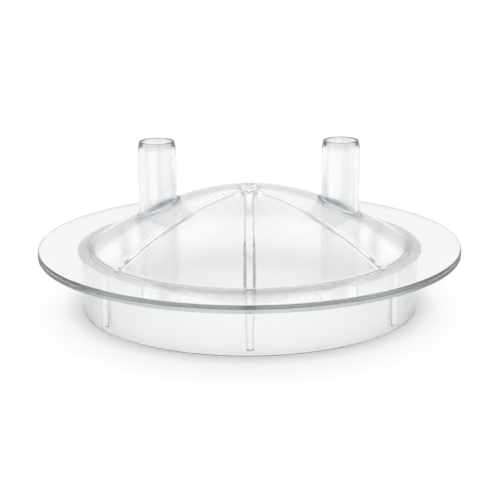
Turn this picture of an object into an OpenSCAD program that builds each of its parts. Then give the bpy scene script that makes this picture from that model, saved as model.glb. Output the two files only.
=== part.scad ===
// Clear plastic humidity dome: an open skirt ring with a flange, which drops into a round
// mouth or stands on a bench, and a shallow ribbed dome that lies on the flange and lifts
// straight off. Two open hose tubes stand in the dome, each held by a clear soft collar.
// Millimetres, +Z up, origin at the centre of the plane that the skirt stands on. The hose
// tubes are on the X axis.

/* [Rim] */
// Outer radius of the two flanges
flange_r = 120; // [110:1:130]
// Height of the dome flange's top face
flange_top = 35.8; // [30:0.2:42]
// Thickness of each flange
flange_t = 2.0; // [1.6:0.1:2.4]
// Thickness of the flat seal between the flanges
seal_t = 0.4; // [0.3:0.1:0.8]

/* [Skirt] */
// Outer radius of the skirt wall
skirt_r = 96; // [92:0.5:98]
// Thickness of the skirt wall
skirt_t = 4.6; // [4:0.1:5]
// Width of a skirt rib at its top
skirt_rib_top_w = 4.1; // [3:0.1:6]
// Width of a skirt rib at its foot
skirt_rib_foot_w = 2.9; // [2:0.1:5]
// How far a skirt rib stands in from the skirt wall
skirt_rib_d = 2.8; // [2:0.1:3.4]
// Height of a skirt rib's foot above the skirt's lower edge
skirt_rib_foot_z = 2.6; // [2:0.1:5]
// Angle on each side of the front and back skirt ribs to the next one
skirt_rib_spread = 56; // [45:1:60]

/* [Dome] */
// Radius of the dome's foot
dome_foot_r = 91.3; // [88:0.1:94]
// Height of the dome's apex above the flange
dome_rise = 32.4; // [25:0.2:40]
// Power of the dome's curve: 2 is a parabola, less is nearer to a cone
dome_power = 1.816; // [1.6:0.01:2.2]
// Thickness of the dome's wall
dome_t = 2.8; // [2:0.1:3.2]
// Width of a dome rib at the dome's foot
rib_foot_w = 4.9; // [3:0.1:6]
// Width of a dome rib at the apex
rib_apex_w = 4.4; // [3:0.1:6]
// Depth of a dome rib below the dome's inner face
rib_d = 2.2; // [1.5:0.1:3]
// Angle on each side of the front and back dome ribs to the next one
rib_spread = 53; // [45:1:60]
// Radius of the boss under the apex, where the ribs meet
hub_r = 5.6; // [5:0.1:8]
// Depth of the boss below the dome's inner face
hub_d = 3.4; // [2.5:0.1:6]
// Depth of the locating lip below the dome flange
lip_depth = 4; // [3:0.1:5]
// Radial gap between the lip and the skirt wall
lip_gap = 0.4; // [0.3:0.05:0.8]

/* [Hose tubes] */
// Distance of each hose tube from the dome's axis
tube_x = 51.7; // [48:0.1:55]
// Outer radius of the hose tail
tube_r = 11; // [9:0.1:12]
// Radius of the tube's bore
tube_bore_r = 8.7; // [7:0.1:9]
// Height of the tube's top end
tube_top = 94.6; // [88:0.2:100]
// Height of the tube's bottom end inside the skirt
tube_bottom = 13; // [8:1:20]
// Radius of the tapered tip at the tube's top end
tube_tip_r = 10; // [9.5:0.1:10.5]
// Length of the tapered tip
tube_tip_l = 7; // [4:0.5:10]
// Thickness of the collar between tube and dome
collar_t = 0.8; // [0.6:0.1:1.2]
// Height of the collar's bead above the dome
bead_h = 1.4; // [1:0.1:2]
// How far the collar's beads stand out past its sleeve
bead_out = 0.8; // [0.5:0.1:1.5]

/* [Hidden] */
$fn = 96;
LEFT = -1;
RIGHT = 1;
CURVE_STEPS = 22;
ARC_STEPS = 5;
clear_plastic = [0.93, 0.95, 0.96, 0.35];
clear_rubber = [0.86, 0.88, 0.90, 0.55];

dome_flange_z = flange_top - flange_t;
skirt_flange_top = dome_flange_z - seal_t;
skirt_flange_z = skirt_flange_top - flange_t;
skirt_in_r = skirt_r - skirt_t;
lip_r = skirt_in_r - lip_gap;
lip_z = dome_flange_z - lip_depth;
// The lip stands over the skirt ribs' tops, clear of them.
lip_clear = 0.6;
skirt_rib_top_z = lip_z - lip_clear;
lip_in_r = skirt_in_r - skirt_rib_d + 0.2;
edge_round = 0.5;
under_fillet = 2;
// How far features that are moulded in one reach into each other.
overlap = 0.8;
// Outer radius at which the dome's curve ends and the blend onto the flange starts.
curve_end_r = lip_in_r + dome_t * sin(dome_slope(lip_in_r));
collar_r = tube_r + collar_t;
// Below the hose tail the tube tapers to a slightly slimmer shank, which the collar holds.
shank_relief = 0.3;
shank_r = tube_r - shank_relief;
shank_taper = 4;
shank_z = dome_z(tube_x - collar_r - bead_out) + bead_h + 0.8;
tail_z = shank_z + shank_taper;
tip_z = tube_top - tube_tip_l;

// Angles of the six ribs: one at the front and one at the back, with one spread to each side.
function rib_angles(spread) = [for (middle = [90, 270], turn = [0, -spread, spread]) middle + turn];

// Height of the dome's outer face at radius r, and its slope there in degrees.
function dome_z(r) = flange_top + dome_rise * (1 - pow(r / dome_foot_r, dome_power));
function dome_slope(r) =
    atan(dome_rise * dome_power / dome_foot_r * pow(r / dome_foot_r, dome_power - 1));

// The point of the dome's section at outer radius r, moved depth inward along the normal.
function dome_point(r, depth) = let (s = dome_slope(r))
    [r - depth * sin(s), dome_z(r) - depth * cos(s)];

// The dome's section from the axis out to its foot, moved depth inward.
function dome_curve(depth) =
    [for (i = [0:CURVE_STEPS]) dome_point(curve_end_r * i / CURVE_STEPS, depth)];

// Points of an arc about [x, z] from angle a0 to a1.
function arc(x, z, r, a0, a1, n = ARC_STEPS) =
    [for (i = [0:n]) let (a = a0 + (a1 - a0) * i / n) [x + r * cos(a), z + r * sin(a)]];

function reversed(list) = [for (i = [len(list) - 1:-1:0]) list[i]];

// A layer of the dome between two depths, negative depths being outside.
module dome_layer(depth_top, depth_bottom) {
    rotate_extrude()
        polygon(concat(dome_curve(depth_top), reversed(dome_curve(depth_bottom))));
}

// One tapered slab that stands on end over a rib, from the axis outward along +X.
module rib_slab(length, w_in, w_out, z0, z1) {
    translate([0, 0, z0])
        linear_extrude(z1 - z0)
            polygon([[0, -w_in / 2], [length, -w_out / 2], [length, w_out / 2], [0, w_in / 2]]);
}

// The six ribs under the dome. Each starts inside the wall and ends inside the lip.
module dome_ribs() {
    top = dome_curve(dome_t - overlap);
    bottom = dome_curve(dome_t + rib_d);
    rib_end = [lip_in_r + 1, bottom[CURVE_STEPS][1]];
    intersection() {
        rotate_extrude() polygon(concat(top, [rib_end], reversed(bottom)));
        union() {
            for (a = rib_angles(rib_spread))
                rotate([0, 0, a])
                    rib_slab(lip_in_r + 2, rib_apex_w, rib_foot_w, lip_z, flange_top + dome_rise);
        }
    }
}

// The boss under the apex, with a rounded lower edge and a small gate pip.
module apex_hub() {
    top = flange_top + dome_rise - dome_t + overlap;
    bottom = flange_top + dome_rise - dome_t - hub_d;
    round_r = 1.2;
    pip_r = 1.4;
    pip_h = 1;
    rotate_extrude()
        polygon(concat([[0, top], [0, bottom - pip_h], [pip_r * 0.6, bottom - pip_h], [pip_r, bottom]],
                       arc(hub_r - round_r, bottom + round_r, round_r, -90, 0),
                       [[hub_r, top]]));
}

// The dome, its flange and its locating lip as one turned section.
module dome_body() {
    tip = 0.4;
    section = concat(
        dome_curve(0),
        foot_blend(),
        arc(flange_r - edge_round, flange_top - edge_round, edge_round, 90, 0),
        arc(flange_r - edge_round, dome_flange_z + edge_round, edge_round, 0, -90),
        [[lip_r, dome_flange_z], [lip_r, lip_z + tip], [lip_r - tip, lip_z]],
        [[lip_in_r + tip, lip_z], [lip_in_r, lip_z + tip]],
        reversed(dome_curve(dome_t)));
    rotate_extrude() polygon(section);
}

// The hollow blend, a parabola, by which the dome's foot runs out onto the flange.
function foot_blend() = let (rise = dome_z(curve_end_r) - flange_top,
                             run = 2 * rise / tan(dome_slope(curve_end_r)))
    [for (i = [1:ARC_STEPS]) let (t = i / ARC_STEPS)
        [curve_end_r + run * t, flange_top + rise * pow(1 - t, 2)]];

module dome_shell() {
    color(clear_plastic)
        difference() {
            union() {
                dome_body();
                dome_ribs();
                apex_hub();
            }
            for (side = [LEFT, RIGHT])
                translate([side * tube_x, 0, 0])
                    cylinder(h = tube_top, r = collar_r);
        }
}

module skirt_ribs() {
    z0 = skirt_rib_foot_z;
    for (a = rib_angles(skirt_rib_spread))
        rotate([0, 0, a])
            intersection() {
                rotate([90, 0, 90])
                    linear_extrude(skirt_r)
                        polygon([[-skirt_rib_foot_w / 2, z0], [skirt_rib_foot_w / 2, z0],
                                 [skirt_rib_top_w / 2, skirt_rib_top_z],
                                 [-skirt_rib_top_w / 2, skirt_rib_top_z]]);
                difference() {
                    cylinder(h = flange_top, r = skirt_in_r + overlap);
                    translate([0, 0, -1])
                        cylinder(h = flange_top + 2, r = skirt_in_r - skirt_rib_d);
                }
            }
}

// The skirt wall and its flange as one turned section, open above and below.
module skirt_body() {
    foot_round = 0.8;
    section = concat(
        arc(skirt_in_r + foot_round, foot_round, foot_round, 180, 270),
        arc(skirt_r - foot_round, foot_round, foot_round, -90, 0),
        reversed(arc(skirt_r + under_fillet, skirt_flange_z - under_fillet, under_fillet, 90, 180)),
        arc(flange_r - edge_round, skirt_flange_z + edge_round, edge_round, -90, 0),
        arc(flange_r - edge_round, skirt_flange_top - edge_round, edge_round, 0, 90),
        [[skirt_in_r, skirt_flange_top]]);
    rotate_extrude() polygon(section);
}

module skirt_ring() {
    color(clear_plastic)
        union() {
            skirt_body();
            skirt_ribs();
        }
}

// A flat ring that lies on the skirt's flange, a little in from the flange's edge.
module rim_seal() {
    inset = 0.7;
    color(clear_rubber)
        translate([0, 0, skirt_flange_top])
            difference() {
                cylinder(h = seal_t, r = flange_r - inset);
                translate([0, 0, -1])
                    cylinder(h = seal_t + 2, r = skirt_r - 3);
            }
}

// An open tube through the dome: tapered tip, hose tail, and a shank down inside the skirt.
module hose_tube(side) {
    tip_round = 0.7;
    end_round = 0.4;
    lead = 0.3;
    shoulder = [tube_tip_r + 0.25, tube_top - tube_tip_l / 4];
    color(clear_plastic)
        translate([side * tube_x, 0, 0])
            rotate_extrude()
                polygon(concat(
                    [[tube_bore_r, tube_bottom], [shank_r - end_round, tube_bottom]],
                    [[shank_r, tube_bottom + end_round], [shank_r, shank_z], [tube_r, tail_z]],
                    [[tube_r, tip_z], shoulder],
                    arc(tube_tip_r - tip_round, tube_top - tip_round, tip_round, 0, 90),
                    [[tube_bore_r + lead, tube_top], [tube_bore_r, tube_top - lead]]));
}

// A soft collar: a sleeve through the dome's wall, with a bead over and under it that
// follows the dome's slope.
module tube_collar(side) {
    color(clear_rubber)
        difference() {
            union() {
                intersection() {
                    dome_layer(-bead_h, dome_t + bead_h);
                    translate([side * tube_x, 0, 0])
                        cylinder(h = tube_top, r = collar_r);
                }
                intersection() {
                    union() {
                        dome_layer(-bead_h, 0);
                        dome_layer(dome_t, dome_t + bead_h);
                    }
                    translate([side * tube_x, 0, 0])
                        cylinder(h = tube_top, r = collar_r + bead_out);
                }
            }
            translate([side * tube_x, 0, 0])
                cylinder(h = tube_top, r = shank_r);
        }
}

skirt_ring();
rim_seal();
dome_shell();
hose_tube(LEFT);  // left_hose_tube
hose_tube(RIGHT);  // right_hose_tube
tube_collar(LEFT);  // left_tube_collar
tube_collar(RIGHT);  // right_tube_collar
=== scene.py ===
"""Looks for the clear humidity dome: turned shells, tubes, collars and a seal in clear
plastic, on a white floor. Lengths are in metres, in the CAD frame."""
import math

import bmesh
import bpy
import numpy as np
from mathutils import Matrix, Vector


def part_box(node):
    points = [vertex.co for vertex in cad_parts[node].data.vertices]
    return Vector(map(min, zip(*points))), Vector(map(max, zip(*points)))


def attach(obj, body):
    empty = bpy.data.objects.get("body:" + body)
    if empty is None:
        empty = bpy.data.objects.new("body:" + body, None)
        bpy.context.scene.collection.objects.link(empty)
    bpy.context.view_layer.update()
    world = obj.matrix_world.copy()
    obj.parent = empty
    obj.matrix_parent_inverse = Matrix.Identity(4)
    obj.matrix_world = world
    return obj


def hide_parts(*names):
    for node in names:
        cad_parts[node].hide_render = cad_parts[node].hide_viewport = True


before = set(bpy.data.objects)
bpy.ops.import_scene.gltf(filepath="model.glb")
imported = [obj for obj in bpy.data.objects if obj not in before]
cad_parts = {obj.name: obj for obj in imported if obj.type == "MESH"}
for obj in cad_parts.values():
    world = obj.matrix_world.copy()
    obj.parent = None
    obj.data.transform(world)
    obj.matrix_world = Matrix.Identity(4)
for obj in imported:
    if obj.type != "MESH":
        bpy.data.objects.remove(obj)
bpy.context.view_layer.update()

MM = 0.001

# ---------------------------------------------------------------- sizes
skirt_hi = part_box("skirt_ring")[1]
dome_lo, dome_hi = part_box("dome_shell")
seal_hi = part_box("rim_seal")[1]
tube_lo, tube_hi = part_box("right_hose_tube")

FLANGE_R = max(dome_hi.x, dome_hi.y)
FLANGE_T = 2.0 * MM
SKIRT_FLANGE_TOP = skirt_hi.z
SKIRT_FLANGE_Z = SKIRT_FLANGE_TOP - FLANGE_T
DOME_FLANGE_Z = seal_hi.z
FLANGE_TOP = DOME_FLANGE_Z + FLANGE_T
EDGE_ROUND = 0.5 * MM

SKIRT_R = 96.0 * MM
SKIRT_IN_R = 91.4 * MM
SKIRT_RIB_IN_R = SKIRT_IN_R - 2.8 * MM
SKIRT_RIB_HALF_TOP = 2.05 * MM
SKIRT_RIB_HALF_FOOT = 1.45 * MM
SKIRT_RIB_FOOT_Z = 2.6 * MM

APEX_Z = dome_hi.z
LIP_Z = dome_lo.z
LIP_R = SKIRT_IN_R - 0.4 * MM
LIP_IN_R = 88.8 * MM
FOOT_R = 91.3 * MM
DOME_RISE = APEX_Z - FLANGE_TOP
DOME_POWER = 1.816
DOME_T = 2.8 * MM
RIB_D = 2.2 * MM
RIB_HALF_FOOT = 2.45 * MM
RIB_HALF_APEX = 2.2 * MM
DOME_RIBS = [math.radians(a) for a in (37, 90, 143, 217, 270, 323)]
SKIRT_RIBS = [math.radians(a) for a in (34, 90, 146, 214, 270, 326)]
HUB_R = 5.6 * MM
HUB_D = 3.4 * MM
PIP_R = 1.2 * MM
PIP_H = 1.0 * MM

TUBE_X = (tube_lo.x + tube_hi.x) / 2
TUBE_R = (tube_hi.x - tube_lo.x) / 2
TUBE_TOP = tube_hi.z
TUBE_BOTTOM = tube_lo.z
TUBE_BORE_R = 8.7 * MM
TUBE_TIP_R = 10.0 * MM
TUBE_TIP_L = 7.0 * MM
SEAL_R = max(seal_hi.x, seal_hi.y)
SHANK_R = TUBE_R - 0.3 * MM
TAIL_TAPER = 4 * MM
COLLAR_R = TUBE_R + 0.8 * MM
BEAD_OUT = 0.8 * MM
BEAD_H = 1.4 * MM
AIR = 0.03 * MM  # keeps the faces of two pieces that touch out of one plane

# How matt each kind of face is, and how much painted shade darkens the tips of the tubes. These
# are chosen for their look, not measured.
MATT_INSIDE = 0.2
MATT_RIB = 0.1
MATT_EDGE = 0.4
MATT_BORE = 0.2
MATT_TIP = 0.3
# painted shade: the share of white that the colour falls to at the mouth of each tube
TIP_PAINTED_SHADE = 0.82

# ---------------------------------------------------------------- outlines
EDGE = 0.12 * MM


def arc(x, z, r, a0, a1, n=8):
    """Points of an arc about (x, z), from angle a0 to a1 in degrees."""
    angles = [math.radians(a0 + (a1 - a0) * i / n) for i in range(n + 1)]
    return [(x + r * math.cos(a), z + r * math.sin(a)) for a in angles]


def bend(a, corner, b, n=8):
    """Points of a smooth bend from a to b that turns at corner."""
    out = []
    for i in range(n + 1):
        t = i / n
        w = ((1 - t) ** 2, 2 * t * (1 - t), t * t)
        out.append(tuple(w[0] * p + w[1] * q + w[2] * s for p, q, s in zip(a, corner, b)))
    return out


def run(a, b, middle):
    """The inside points of a straight stretch: middle even ones, and two close to each end
    so that smooth shading stays flat between them."""
    end = min(EDGE / max(math.dist(a, b), 1e-9), 0.08)
    cuts = [end, 3 * end]
    cuts += [3 * end + (1 - 6 * end) * (i + 1) / (middle + 1) for i in range(middle)]
    cuts += [1 - 3 * end, 1 - end]
    return [tuple(p + (q - p) * t for p, q in zip(a, b)) for t in cuts]


def outline(*parts):
    """One outline from lists of points, with a number between two lists for the even points
    of the straight run that joins them."""
    out = list(parts[0])
    for middle, points in zip(parts[1::2], parts[2::2]):
        if middle is not None:
            out += run(out[-1], points[0], middle)
        out += list(points)
    return out


def dome_z(r):
    return FLANGE_TOP + DOME_RISE * (1 - (r / FOOT_R) ** DOME_POWER)


def dome_slope(r):
    return math.atan(DOME_RISE * DOME_POWER / FOOT_R * (r / FOOT_R) ** (DOME_POWER - 1))


def dome_point(r, depth):
    """The point at outer radius r of the dome's section, moved inward along its normal."""
    s = dome_slope(r)
    return (r - depth * math.sin(s), dome_z(r) - depth * math.cos(s))


CURVE_END_R = LIP_IN_R + DOME_T * math.sin(dome_slope(LIP_IN_R))


def soft_step(t):
    t = min(max(t, 0.0), 1.0)
    return t * t * (3 - 2 * t)


# ---------------------------------------------------------------- turned meshes
RIB_SIDE = [0.3, 0.5] + [0.62 + 0.74 * i / 12 for i in range(13)] + [1.5, 1.8, 2.2]
RIB_ACROSS = np.array([-u for u in reversed(RIB_SIDE)] + [0] + RIB_SIDE)
PANEL_STEPS = 24
WIDEST_RIB_TURN = math.radians(24)


def rib_height(across, edge):
    """1 on the crown of a rib and 0 off it. across is in half widths, and so is edge, the
    width that each rounded side takes."""
    t = np.clip((1 + edge / 2 - np.abs(across)) / edge, 0, 1)
    return t * t * (3 - 2 * t)


def column_angles(ribs, r, half_width):
    """The angles of the grid's columns at each point of a section: close together across
    the ribs, even over the panels between them. Also each column's place across its rib."""
    reach = RIB_ACROSS[-1] * half_width / np.maximum(r, 1e-6)
    turn = np.minimum(np.arcsin(np.minimum(reach, 1)), WIDEST_RIB_TURN)
    angles, across = [], []
    for k, rib in enumerate(ribs):
        after = ribs[k + 1] if k + 1 < len(ribs) else ribs[0] + 2 * math.pi
        for u in RIB_ACROSS:
            angles.append(rib + turn * u / RIB_ACROSS[-1])
            across.append(u)
        for i in range(1, PANEL_STEPS):
            t = i / PANEL_STEPS
            angles.append((rib + turn) * (1 - t) + (after - turn) * t)
            across.append(RIB_ACROSS[-1])
    return np.array(angles), np.array(across)


def ribbed_lathe(name, ribs, plain, ribbed, half_width, edge, matt, closed=False):
    """A turned solid with one section between the ribs and another on their crowns. Both
    have as many points. edge is how wide a rib's rounded sides are, and matt is how matt each
    point of the section is between the ribs."""
    plain, ribbed, half_width = np.array(plain), np.array(ribbed), np.array(half_width)
    angles, across = column_angles(ribs, plain[:, 0], half_width)
    h = rib_height(across[:, None], (edge / half_width)[None, :])
    r = plain[:, 0] + (ribbed[:, 0] - plain[:, 0]) * h
    z = plain[:, 1] + (ribbed[:, 1] - plain[:, 1]) * h
    points = np.stack([r * np.cos(angles), r * np.sin(angles), z], -1)
    on_rib = h * (np.abs(ribbed - plain).max(-1) > 0)
    return grid_mesh(name, points, closed, np.array(matt) * (1 - on_rib) + MATT_RIB * on_rib)


def lathe(name, section, centre_x=0.0, around=192, matt=None):
    """A turned ring whose section is a loop."""
    section = np.array(section)
    angles = np.linspace(0, 2 * math.pi, around, endpoint=False)[:, None]
    r, z = section[:, 0], section[:, 1]
    x, y = centre_x + r * np.cos(angles), r * np.sin(angles)
    return grid_mesh(name, np.stack([x, y, np.broadcast_to(z, x.shape)], -1), True, matt)


def grid_mesh(name, points, closed, matt=None):
    """Joins a grid of columns into a mesh that closes round, and closes each column too if
    it is a loop. Points that fall together on the axis are merged. matt is stored on the
    faces, for the material to read."""
    columns, count = points.shape[:2]
    j = np.arange(columns)[:, None]
    i = np.arange(count if closed else count - 1)[None, :]
    k, i2 = (j + 1) % columns, (i + 1) % count
    corners = (j * count + i, k * count + i, k * count + i2, j * count + i2)
    quads = np.stack(np.broadcast_arrays(*corners), -1)
    mesh = bpy.data.meshes.new(name)
    mesh.from_pydata(points.reshape(-1, 3).tolist(), [], quads.reshape(-1, 4).tolist())
    if matt is not None:
        matt = np.broadcast_to(matt, points.shape[:2])[:, :quads.shape[1]]
        faces = mesh.attributes.new("matt", "FLOAT", "FACE")
        faces.data.foreach_set("value", matt.astype(np.float32).ravel())
    bm = bmesh.new()
    bm.from_mesh(mesh)
    bmesh.ops.remove_doubles(bm, verts=bm.verts, dist=2e-7)
    bmesh.ops.recalc_face_normals(bm, faces=bm.faces)
    bm.to_mesh(mesh)
    bm.free()
    mesh.polygons.foreach_set("use_smooth", [True] * len(mesh.polygons))
    ob = bpy.data.objects.new(name, mesh)
    bpy.context.scene.collection.objects.link(ob)
    return ob


# ---------------------------------------------------------------- pieces
def edge_matt(outside):
    """The flange's edge is matt, and the other outer faces are polished."""
    return [MATT_EDGE if r > FLANGE_R - 0.2 * MM else 0.0 for r, _ in outside]


def make_skirt():
    """Skirt wall, flange and skirt ribs, one moulding, open above and below."""
    foot, under = 0.8 * MM, 2.0 * MM
    shelf_z = LIP_Z - 0.6 * MM
    outside = outline(
        arc(SKIRT_R - foot, foot, foot, -90, 0), 10,
        arc(SKIRT_R + under, SKIRT_FLANGE_Z - under, under, 180, 90), 5,
        arc(FLANGE_R - EDGE_ROUND, SKIRT_FLANGE_Z + EDGE_ROUND, EDGE_ROUND, -90, 0), 1,
        arc(FLANGE_R - EDGE_ROUND, SKIRT_FLANGE_TOP - EDGE_ROUND, EDGE_ROUND, 0, 90), 5,
        arc(SKIRT_IN_R + 0.3 * MM, SKIRT_FLANGE_TOP - 0.3 * MM, 0.3 * MM, 90, 180, 4))

    def inside(wall_r):
        """From the mouth down the wall, over the rib's ends if wall_r is a rib's, to the foot."""
        def ledge(z, up):
            between = ((SKIRT_IN_R + wall_r) / 2, z)
            out = bend((SKIRT_IN_R, z + up), (SKIRT_IN_R, z), between, 6)
            return out + bend(between, (wall_r, z), (wall_r, z - up), 6)[1:]
        low = ledge(SKIRT_RIB_FOOT_Z, -0.6 * MM)
        round_foot = arc(SKIRT_IN_R + foot, foot, foot, 180, 270)
        return outline(ledge(shelf_z, 0.6 * MM), 10, low[::-1], 2, round_foot)

    plain = outline(outside, 2, inside(SKIRT_IN_R))
    ribbed = outline(outside, 2, inside(SKIRT_RIB_IN_R))
    plain += run(plain[-1], plain[0], 2)
    ribbed += run(ribbed[-1], ribbed[0], 2)
    rise = [min(max((z - SKIRT_RIB_FOOT_Z) / (shelf_z - SKIRT_RIB_FOOT_Z), 0), 1) for _, z in plain]
    half = [SKIRT_RIB_HALF_FOOT + (SKIRT_RIB_HALF_TOP - SKIRT_RIB_HALF_FOOT) * t for t in rise]
    matt = edge_matt(outside) + [MATT_INSIDE] * (len(plain) - len(outside))
    return ribbed_lathe("clear_skirt", SKIRT_RIBS, plain, ribbed, half, 1.3 * MM, matt, True)


def rib_side_width(r):
    """How wide the rounded side of a dome rib is at radius r: crisp in the middle, softer low
    down and near the boss."""
    return (0.6 + 1.3 * soft_step((r / MM - 57) / 6) + 0.9 * soft_step((13 - r / MM) / 4)) * MM


def make_dome():
    """Dome, flange, locating lip, ribs and apex boss, one moulding."""
    tip = 0.5 * MM
    blend_run = (dome_z(CURVE_END_R) - FLANGE_TOP) / math.tan(dome_slope(CURVE_END_R))
    outside = outline(
        [dome_point(CURVE_END_R * i / 48, 0) for i in range(48)], None,
        bend(dome_point(CURVE_END_R, 0), (CURVE_END_R + blend_run, FLANGE_TOP),
             (CURVE_END_R + 2 * blend_run, FLANGE_TOP)), 5,
        arc(FLANGE_R - EDGE_ROUND, FLANGE_TOP - EDGE_ROUND, EDGE_ROUND, 90, 0), 1,
        arc(FLANGE_R - EDGE_ROUND, DOME_FLANGE_Z + EDGE_ROUND, EDGE_ROUND, 0, -90), 5,
        bend((LIP_R + 0.3 * MM, DOME_FLANGE_Z), (LIP_R, DOME_FLANGE_Z),
             (LIP_R, DOME_FLANGE_Z - 0.3 * MM), 4), 2,
        arc(LIP_R - tip, LIP_Z + tip, tip, 0, -90), 1,
        arc(LIP_IN_R + tip, LIP_Z + tip, tip, -90, -180))

    def depth(r, rib):
        """How deep the inner face lies below the outer one, with the boss and pip near the axis."""
        hub = HUB_D * soft_step((HUB_R + 1.0 * MM - r) / (2.0 * MM))
        pip = PIP_H * soft_step((PIP_R + 0.3 * MM - r) / (0.6 * MM))
        return DOME_T + max(hub, rib) + pip

    radii = [CURVE_END_R + (HUB_R + 1.5 * MM - CURVE_END_R) * i / 44 for i in range(45)]
    radii += [HUB_R + (0.9 - 0.12 * i) * MM for i in range(16)]
    radii += [(HUB_R - 1.3 * MM) + (PIP_R + 0.8 * MM - HUB_R + 1.3 * MM) * i / 5 for i in range(6)]
    radii += [PIP_R + (0.5 - 0.12 * i) * MM for i in range(9)] + [0.3 * MM, 0]

    def inside(rib, foot_z):
        """From the lip's inner wall, round the foot, along the inner face to the axis."""
        curve = [dome_point(r, depth(r, rib)) for r in radii]
        corner = (LIP_IN_R, foot_z)
        return outline(bend((LIP_IN_R, foot_z - 0.7 * MM), corner, curve[1]), None, curve[2:])

    end_z = dome_point(CURVE_END_R, DOME_T)[1]
    rib_end_z = dome_point(CURVE_END_R, DOME_T + RIB_D)[1]
    plain = outline(outside, 3, inside(0, end_z))
    ribbed = outline(outside, 3, inside(RIB_D, rib_end_z))
    half = [RIB_HALF_APEX + (RIB_HALF_FOOT - RIB_HALF_APEX) * min(r / FOOT_R, 1) for r, _ in plain]
    matt = edge_matt(outside)
    matt += [MATT_INSIDE * soft_step((r - 8 * MM) / (12 * MM)) for r, _ in plain[len(outside):]]
    sides = [rib_side_width(r) for r, _ in plain]
    dome = ribbed_lathe("clear_dome", DOME_RIBS, plain, ribbed, half, sides, matt)
    for side in (-1, 1):
        bore(dome, side * TUBE_X, COLLAR_R + AIR)
    return dome


def bore(ob, x, r):
    """Cuts an upright round hole through a mesh."""
    cutter = lathe("cutter", [(1e-5, -0.1), (r, -0.1), (r, 0.2), (1e-5, 0.2)], x)
    cut = ob.modifiers.new("bore", "BOOLEAN")
    cut.operation = "DIFFERENCE"
    cut.solver = "MANIFOLD"
    cut.object = cutter
    graph = bpy.context.evaluated_depsgraph_get()
    mesh = bpy.data.meshes.new_from_object(ob.evaluated_get(graph))
    ob.modifiers.clear()
    old = ob.data
    ob.data = mesh
    mesh.name = ob.name
    bpy.data.meshes.remove(old)
    bpy.data.objects.remove(cutter)
    mesh.set_sharp_from_angle(angle=math.radians(40))


def make_tube(name, x):
    """An open tube: rounded tapered tip, hose tail, and a shank down inside the skirt."""
    tip_round, end_round, lead = 0.66 * MM, 0.4 * MM, 0.6 * MM
    shank_z = dome_z(TUBE_X - COLLAR_R - BEAD_OUT) + BEAD_H + 0.8 * MM
    tail_z = shank_z + TAIL_TAPER
    tip_z = TUBE_TOP - TUBE_TIP_L
    section = outline(
        arc(TUBE_BORE_R + end_round, TUBE_BOTTOM + end_round, end_round, 180, 270, 5), 0,
        arc(SHANK_R - end_round, TUBE_BOTTOM + end_round, end_round, -90, 0, 5), 8,
        bend((SHANK_R, shank_z - 1 * MM), (SHANK_R, shank_z + 0.5 * MM),
             (TUBE_R - 0.15 * MM, shank_z + 2 * MM), 4), None,
        bend((TUBE_R - 0.12 * MM, tail_z - 1.6 * MM), (TUBE_R, tail_z),
             (TUBE_R, tail_z + 1 * MM), 4), 4,
        bend((TUBE_R, tip_z - 1.5 * MM), (TUBE_R, tip_z + 1 * MM),
             (TUBE_R - 0.25 * MM, tip_z + 3.5 * MM)), 1,
        arc(TUBE_TIP_R - tip_round, TUBE_TOP - tip_round, tip_round, 10, 90), 0,
        arc(TUBE_BORE_R + lead, TUBE_TOP - lead, lead, 90, 180, 6))
    matt = [MATT_TIP if z > TUBE_TOP - 2 * MM else 0.0 for _, z in section]
    section += run(section[-1], section[0], 14)
    return lathe(name, section, x, matt=matt + [MATT_BORE] * (len(section) - len(matt)))


def make_collar(name, x):
    """A soft sleeve between tube and dome, with a rounded bead over and under the wall. Its
    section rides up and down with the dome's slope as it goes round the tube."""
    inner = SHANK_R + AIR
    sleeve = COLLAR_R
    lip = COLLAR_R + BEAD_OUT
    # each point is (distance from the tube's axis, depth below the dome's outer face)
    top = bend((inner, -BEAD_H * 0.8), (inner, -BEAD_H), (inner + 0.3 * MM, -BEAD_H), 4)
    top += bend((sleeve, -BEAD_H), (lip, -BEAD_H), (lip, -BEAD_H * 0.35), 8)
    top += bend((lip, -BEAD_H * 0.2), (lip, -AIR), (lip - 0.2 * MM, -AIR), 4)
    bottom = [(rho, DOME_T - depth) for rho, depth in reversed(top)]
    section = top + [(sleeve + 0.02 * MM, -AIR), (sleeve, 0.05 * MM)]
    section += [(sleeve, DOME_T - 0.05 * MM), (sleeve + 0.02 * MM, DOME_T + AIR)] + bottom
    section += run(section[-1], section[0], 4)
    columns = []
    for i in range(160):
        turn = 2 * math.pi * i / 160
        column = []
        for rho, depth in section:
            px, py = x + rho * math.cos(turn), rho * math.sin(turn)
            r = math.hypot(px, py)
            column.append((px, py, dome_z(r) - depth / math.cos(dome_slope(r))))
        columns.append(column)
    return grid_mesh(name, np.array(columns), True)


def make_seal():
    """The flat ring between the two flanges."""
    inner = SKIRT_R - 3 * MM
    low, high = SKIRT_FLANGE_TOP + AIR, DOME_FLANGE_Z - AIR
    k = (high - low) * 0.4
    section = outline(
        arc(inner + k, low + k, k, 180, 270, 4), 4, arc(SEAL_R - k, low + k, k, -90, 0, 4), 0,
        arc(SEAL_R - k, high - k, k, 0, 90, 4), 4, arc(inner + k, high - k, k, 90, 180, 4))
    return lathe("clear_seal", section, around=396)


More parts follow.
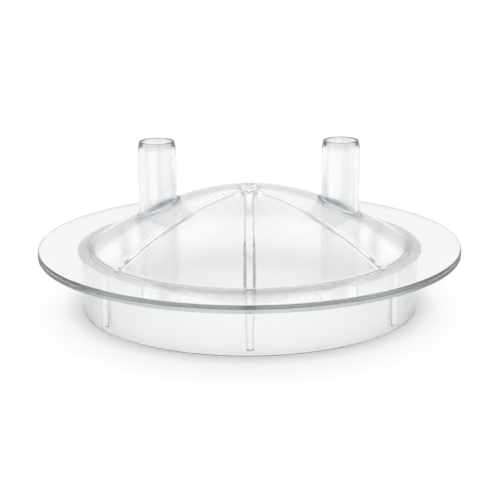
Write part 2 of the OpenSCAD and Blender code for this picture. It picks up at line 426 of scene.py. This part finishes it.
# ---------------------------------------------------------------- materials
def clear_plastic(name, tint, ior, density, ripple, ripple_size, stretch=1.0, streak_painted_shade=1.0, matt=False):
    """Clear plastic: a faint absorption in its depth, and a slow ripple on its faces, drawn out
    along Z by stretch. The shade for the streaks, when under 1, paints shade into the colour: darker
    random streaks over the ripple's low parts, above the dome only. The tips of the tubes get painted
    shade too. matt reads how matt each face is."""
    mat = bpy.data.materials.new(name)
    mat.use_nodes = True
    nodes, links = mat.node_tree.nodes, mat.node_tree.links
    shader = nodes["Principled BSDF"]
    shader.inputs["Base Color"].default_value = (1, 1, 1, 1)
    shader.inputs["Roughness"].default_value = 0
    if matt:
        faces = nodes.new("ShaderNodeAttribute")
        faces.attribute_name = "matt"
        links.new(faces.outputs["Fac"], shader.inputs["Roughness"])
    shader.inputs["IOR"].default_value = ior
    shader.inputs["Transmission Weight"].default_value = 1.0
    depth = nodes.new("ShaderNodeVolumeAbsorption")
    depth.inputs["Color"].default_value = (*tint, 1)
    depth.inputs["Density"].default_value = density
    links.new(depth.outputs["Volume"], nodes["Material Output"].inputs["Volume"])
    place = nodes.new("ShaderNodeTexCoord")
    drawn = nodes.new("ShaderNodeMapping")
    drawn.inputs["Scale"].default_value = (1, 1, 1 / stretch)
    noise = nodes.new("ShaderNodeTexNoise")
    noise.inputs["Scale"].default_value = 1 / ripple_size
    noise.inputs["Detail"].default_value = 1.5
    bump = nodes.new("ShaderNodeBump")
    bump.inputs["Strength"].default_value = 1.0
    bump.inputs["Distance"].default_value = ripple
    links.new(place.outputs["Object"], drawn.inputs["Vector"])
    links.new(drawn.outputs["Vector"], noise.inputs["Vector"])
    links.new(noise.outputs["Fac"], bump.inputs["Height"])
    links.new(bump.outputs["Normal"], shader.inputs["Normal"])
    # painted shade: darker random streaks in the colour, following the ripple's noise, only above the
    # dome
    if streak_painted_shade < 1:
        streaks = nodes.new("ShaderNodeValToRGB")
        low, high = streaks.color_ramp.elements
        low.position, high.position = 0.42, 0.58
        low.color = (streak_painted_shade, streak_painted_shade, streak_painted_shade, 1)
        height = nodes.new("ShaderNodeSeparateXYZ")
        reach = nodes.new("ShaderNodeMapRange")
        reach.inputs["From Min"].default_value = dome_z(TUBE_X + TUBE_R)
        reach.inputs["From Max"].default_value = dome_z(TUBE_X - TUBE_R)
        painted_shade_above_dome = nodes.new("ShaderNodeMixRGB")
        painted_shade_above_dome.inputs["Color1"].default_value = (1, 1, 1, 1)
        links.new(noise.outputs["Fac"], streaks.inputs["Fac"])
        links.new(place.outputs["Object"], height.inputs["Vector"])
        links.new(height.outputs["Z"], reach.inputs["Value"])
        links.new(reach.outputs["Result"], painted_shade_above_dome.inputs["Fac"])
        links.new(streaks.outputs["Color"], painted_shade_above_dome.inputs["Color2"])
        # painted shade: the colour darkens over the last few millimetres towards the mouth of each tube
        tip = nodes.new("ShaderNodeMapRange")
        tip.inputs["From Min"].default_value = TUBE_TOP - 5 * MM
        tip.inputs["From Max"].default_value = TUBE_TOP - 2 * MM
        tip.inputs["To Min"].default_value = 1
        tip.inputs["To Max"].default_value = TIP_PAINTED_SHADE
        both = nodes.new("ShaderNodeMixRGB")
        both.blend_type = "MULTIPLY"
        both.inputs["Fac"].default_value = 1
        links.new(height.outputs["Z"], tip.inputs["Value"])
        links.new(painted_shade_above_dome.outputs["Color"], both.inputs["Color1"])
        links.new(tip.outputs["Result"], both.inputs["Color2"])
        links.new(both.outputs["Color"], shader.inputs["Base Color"])
    return mat


def dress(ob, mat, body, slot, *nodes):
    if not ob.data.materials:
        ob.data.materials.append(mat)
    ob.data.materials[0] = mat
    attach(ob, body)
    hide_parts(*nodes)


CLEAR = (0.90, 0.91, 0.915)
shell_plastic = clear_plastic("shell_plastic", CLEAR, 1.49, 70.0, 0.0015 * MM, 16 * MM, matt=True)
# the tube's 0.9 is the painted shade of its streaks above the dome
tube_plastic = clear_plastic("tube_plastic", CLEAR, 1.49, 130.0, 0.0003 * MM, 4.5 * MM, 25.0, 0.9, True)
collar_rubber = clear_plastic("collar_rubber", (0.86, 0.88, 0.90), 1.45, 250.0, 0.004 * MM, 3 * MM)
seal_rubber = clear_plastic("seal_rubber", (0.88, 0.90, 0.92), 1.45, 30.0, 0.003 * MM, 5 * MM)

dress(make_skirt(), shell_plastic, "base", "clear_shell", "skirt_ring")
dress(make_seal(), seal_rubber, "base", "clear_seal", "rim_seal")
dress(make_dome(), shell_plastic, "dome", "clear_shell", "dome_shell")
for side_name, side in (("left", -1), ("right", 1)):
    tube = make_tube(f"clear_{side_name}_tube", side * TUBE_X)
    dress(tube, tube_plastic, "dome", "clear_tube", f"{side_name}_hose_tube")
    collar = make_collar(f"clear_{side_name}_collar", side * TUBE_X)
    dress(collar, collar_rubber, "dome", "clear_collar", f"{side_name}_tube_collar")


# ---------------------------------------------------------------- stage, light and camera
def make_floor():
    """A wide white floor that glows, with a painted contact shadow: the glow is dimmed close to
    what stands on it, most of all outside the skirt. It lies a hair below the skirt."""
    below = (0, 0, -0.1 * MM)
    bpy.ops.mesh.primitive_circle_add(vertices=96, radius=8, fill_type="NGON", location=below)
    floor = bpy.context.object
    floor.name = "floor"
    mat = bpy.data.materials.new("white_floor")
    mat.use_nodes = True
    nodes, links = mat.node_tree.nodes, mat.node_tree.links
    shader = nodes["Principled BSDF"]
    shader.inputs["Base Color"].default_value = (0.65, 0.65, 0.65, 1)
    shader.inputs["Roughness"].default_value = 0.9
    shader.inputs["Specular IOR Level"].default_value = 0.0
    shader.inputs["Emission Color"].default_value = (1, 1, 1, 1)
    # painted shadow: ambient occlusion dims the floor's glow near the skirt, deeper outside it than
    # inside
    near = nodes.new("ShaderNodeAmbientOcclusion")
    near.samples = 16
    near.inputs["Distance"].default_value = 14 * MM
    glow_with_painted_shadow = nodes.new("ShaderNodeMapRange")
    glow_with_painted_shadow.inputs["From Min"].default_value = 0.4
    glow_with_painted_shadow.inputs["To Max"].default_value = 0.63
    place = nodes.new("ShaderNodeTexCoord")
    reach = nodes.new("ShaderNodeVectorMath")
    reach.operation = "LENGTH"
    outside = nodes.new("ShaderNodeMapRange")
    outside.inputs["From Min"].default_value = SKIRT_IN_R
    outside.inputs["From Max"].default_value = SKIRT_R
    outside.inputs["To Min"].default_value = 0.55
    outside.inputs["To Max"].default_value = 0.36
    links.new(place.outputs["Object"], reach.inputs[0])
    links.new(reach.outputs["Value"], outside.inputs["Value"])
    links.new(outside.outputs["Result"], glow_with_painted_shadow.inputs["To Min"])
    links.new(near.outputs["AO"], glow_with_painted_shadow.inputs["Value"])
    links.new(glow_with_painted_shadow.outputs["Result"], shader.inputs["Emission Strength"])
    floor.data.materials.append(mat)


def make_world():
    """White all round at eye level and dimmer overhead. Behind it is a shade darker low down,
    where the flange mirrors it, with two broad soft lights above that."""
    world = bpy.data.worlds.new("studio")
    bpy.context.scene.world = world
    world.use_nodes = True
    nodes, links = world.node_tree.nodes, world.node_tree.links
    place = nodes.new("ShaderNodeTexCoord")
    parts = nodes.new("ShaderNodeSeparateXYZ")
    links.new(place.outputs["Generated"], parts.inputs["Vector"])

    def ramp(source, from_min, from_max, to_min, to_max):
        step = nodes.new("ShaderNodeMapRange")
        step.interpolation_type = "SMOOTHSTEP"
        step.inputs["From Min"].default_value = from_min
        step.inputs["From Max"].default_value = from_max
        step.inputs["To Min"].default_value = to_min
        step.inputs["To Max"].default_value = to_max
        links.new(source, step.inputs["Value"])
        return step.outputs["Result"]

    def multiply_add(a, b, c):
        node = nodes.new("ShaderNodeMath")
        node.operation = "MULTIPLY_ADD"
        for k, source in enumerate((a, b, c)):
            links.new(source, node.inputs[k])
        return node.outputs["Value"]

    total = ramp(parts.outputs["Z"], 0.3, 0.8, 1.01, 0.48)
    edge, core = math.cos(math.radians(60)), math.cos(math.radians(25))
    behind = ramp(parts.outputs["Y"], edge, core, 0, 1)
    total = multiply_add(behind, ramp(parts.outputs["Z"], 0.26, 0.36, -0.14, 0), total)
    lamp_height = ramp(parts.outputs["Z"], 0.26, 0.36, 0, 0.6)
    for turn in (-36, 36):
        turn, rise = math.radians(turn), math.radians(30)
        aim = nodes.new("ShaderNodeVectorMath")
        aim.operation = "DOT_PRODUCT"
        lamp = (math.sin(turn) * math.cos(rise), math.cos(turn) * math.cos(rise), math.sin(rise))
        aim.inputs[1].default_value = lamp
        links.new(place.outputs["Generated"], aim.inputs[0])
        edge, core = math.cos(math.radians(38)), math.cos(math.radians(16))
        near = ramp(aim.outputs["Value"], edge, core, 0, 1)
        total = multiply_add(near, lamp_height, total)
    links.new(total, nodes["Background"].inputs["Strength"])
    nodes["Background"].inputs["Color"].default_value = (1, 1, 1, 1)


def make_camera():
    """Stands in front, a little above, and looks down on the dome with a long lens."""
    pitch, roll = math.radians(15.59), math.radians(0.38)
    right, up = Vector((1, 0, 0)), Vector((0, math.sin(pitch), math.cos(pitch)))
    ahead = Vector((0, math.cos(pitch), -math.sin(pitch)))
    x_axis = right * math.cos(roll) - up * math.sin(roll)
    y_axis = right * math.sin(roll) + up * math.cos(roll)
    turn = Matrix((x_axis, y_axis, -ahead)).transposed()
    data = bpy.data.cameras.new("camera")
    data.lens, data.sensor_width = 102.73, 36
    camera = bpy.data.objects.new("camera", data)
    camera.matrix_world = Matrix.Translation(Vector((0.00226, -6.563, 2.087)) * FLANGE_R) @ turn.to_4x4()
    bpy.context.scene.collection.objects.link(camera)
    bpy.context.scene.camera = camera


def set_light_paths():
    """Clear plastic needs many bounces, and plain view colours keep white white."""
    scene = bpy.context.scene
    scene.cycles.max_bounces = 40
    scene.cycles.transmission_bounces = 40
    scene.cycles.glossy_bounces = 16
    scene.cycles.diffuse_bounces = 4
    scene.cycles.use_denoising = True
    scene.view_settings.view_transform = "Standard"


make_floor()
make_world()
make_camera()
set_light_paths()
